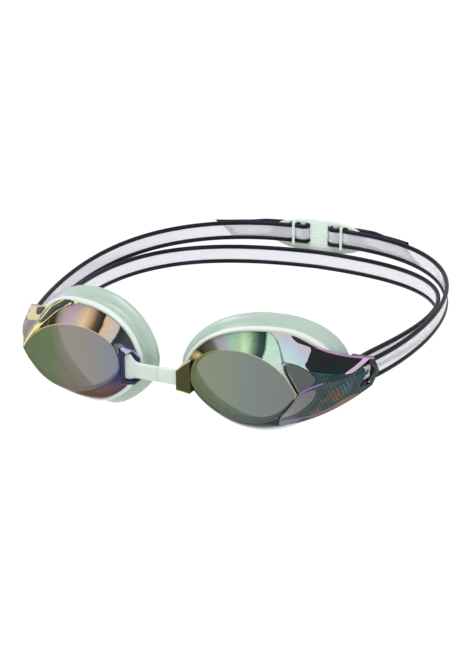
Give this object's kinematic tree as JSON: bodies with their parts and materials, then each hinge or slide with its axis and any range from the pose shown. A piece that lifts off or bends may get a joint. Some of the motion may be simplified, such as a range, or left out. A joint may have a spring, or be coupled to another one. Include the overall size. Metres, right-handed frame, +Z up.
{
  "type": "swim goggles",
  "caption": "Swim goggles with mirrored lens cups, soft flared seals, a flexible nose bridge and a double silicone strap looped round the anchors and held by a rear clip.",
  "frame": {"origin": "midway between the nose ends of the two seals, where they rest on the face either side of the nose", "axes": "+X towards the wearer's left, -Y the way the lenses face, +Z up"},
  "size_m": [0.1556, 0.1584, 0.0455],
  "materials": {
    "mirror_lens": "polished polycarbonate with an iridescent mirror coating, tinted and partly see-through",
    "seal_silicone": "translucent mint silicone, satin",
    "bridge_silicone": "translucent pale mint silicone, satin",
    "strap_silicone": "dark purple-black ribbed rails with a clear web between them",
    "clip_plastic": "translucent pale mint plastic, satin"
  },
  "bodies": {
    "bridge": {"nose_bridge": "bridge_silicone"},
    "left_cup": {"left_lens": "mirror_lens", "left_seal": "seal_silicone"},
    "right_cup": {"right_lens": "mirror_lens", "right_seal": "seal_silicone"},
    "left_loop": {"left_strap_loop": "strap_silicone"},
    "right_loop": {"right_strap_loop": "strap_silicone"},
    "left_upper": {"left_upper_strand": "strap_silicone"},
    "right_upper": {"right_upper_strand": "strap_silicone"},
    "left_lower": {"left_lower_strand": "strap_silicone"},
    "right_lower": {"right_lower_strand": "strap_silicone"},
    "left_tail": {"left_strap_tail": "strap_silicone"},
    "right_tail": {"right_strap_tail": "strap_silicone"},
    "clip": {"strap_clip": "clip_plastic"}
  },
  "joints": [
    {"name": "left_cup_flex", "type": "hinge", "parent": "bridge", "child": "left_cup", "pos_m": [0.008, -0.00975, 0.0009], "axis": [0, 0, 1], "range_deg": [-3, 4], "stiffness_Nm_per_rad": 0.3, "deforming": ["nose_bridge", "left_strap_loop", "right_strap_loop"]},
    {"name": "right_cup_flex", "type": "hinge", "parent": "bridge", "child": "right_cup", "pos_m": [-0.008, -0.00975, 0.0009], "axis": [0, 0, 1], "range_deg": [-4, 3], "deforming": ["nose_bridge", "left_strap_loop", "right_strap_loop"]},
    {"name": "left_loop_swing", "type": "hinge", "parent": "left_cup", "child": "left_loop", "pos_m": [0.0669, 0.016, 0.0027], "axis": [0, 0, 1], "range_deg": [-5, 3.7], "deforming": ["left_strap_loop"]},
    {"name": "right_loop_swing", "type": "hinge", "parent": "right_cup", "child": "right_loop", "pos_m": [-0.0669, 0.016, 0.0027], "axis": [0, 0, 1], "range_deg": [-3.7, 5], "deforming": ["right_strap_loop"]},
    {"name": "left_upper_tilt", "type": "hinge", "parent": "left_loop", "child": "left_upper", "pos_m": [0.0669, 0.02025, 0.0027], "axis": [1, 0, 0], "range_deg": [0, 20], "stiffness_Nm_per_rad": 0.05, "deforming": ["left_strap_loop", "right_strap_loop"]},
    {"name": "right_upper_tilt", "type": "hinge", "parent": "right_loop", "child": "right_upper", "pos_m": [-0.0669, 0.02025, 0.0027], "axis": [1, 0, 0], "range_deg": [0, 20], "deforming": ["left_strap_loop", "right_strap_loop"]},
    {"name": "left_lower_tilt", "type": "hinge", "parent": "left_loop", "child": "left_lower", "pos_m": [0.0669, 0.02025, 0.0027], "axis": [1, 0, 0], "range_deg": [-20, 0], "stiffness_Nm_per_rad": 0.05, "springref_deg": 4.58, "deforming": ["left_strap_loop", "right_strap_loop"]},
    {"name": "right_lower_tilt", "type": "hinge", "parent": "right_loop", "child": "right_lower", "pos_m": [-0.0669, 0.02025, 0.0027], "axis": [1, 0, 0], "range_deg": [-20, 0], "deforming": ["left_strap_loop", "right_strap_loop"]},
    {"name": "clip_turn", "type": "hinge", "parent": "left_upper", "child": "clip", "pos_m": [0, 0.1394, 0.0132], "axis": [0, 0, 1], "range_deg": [-0.8, 1]},
    {"name": "left_tail_slide", "type": "hinge", "parent": "left_upper", "child": "left_tail", "pos_m": [0, 0.056, 0.0132], "axis": [0, 0, 1], "range_deg": [-2, 2]},
    {"name": "right_tail_slide", "type": "hinge", "parent": "right_upper", "child": "right_tail", "pos_m": [0, 0.056, 0.0132], "axis": [0, 0, 1], "range_deg": [-2, 2]}
  ],
  "couplings": [
    {"joint": "right_cup_flex", "follows": "left_cup_flex", "ratio": -1},
    {"joint": "left_loop_swing", "follows": "left_cup_flex", "ratio": -1.22},
    {"joint": "right_loop_swing", "follows": "left_cup_flex", "ratio": 1.22},
    {"joint": "right_upper_tilt", "follows": "left_upper_tilt", "ratio": 1},
    {"joint": "right_lower_tilt", "follows": "left_lower_tilt", "ratio": 1},
    {"joint": "clip_turn", "follows": "left_cup_flex", "ratio": 0.22}
  ]
}
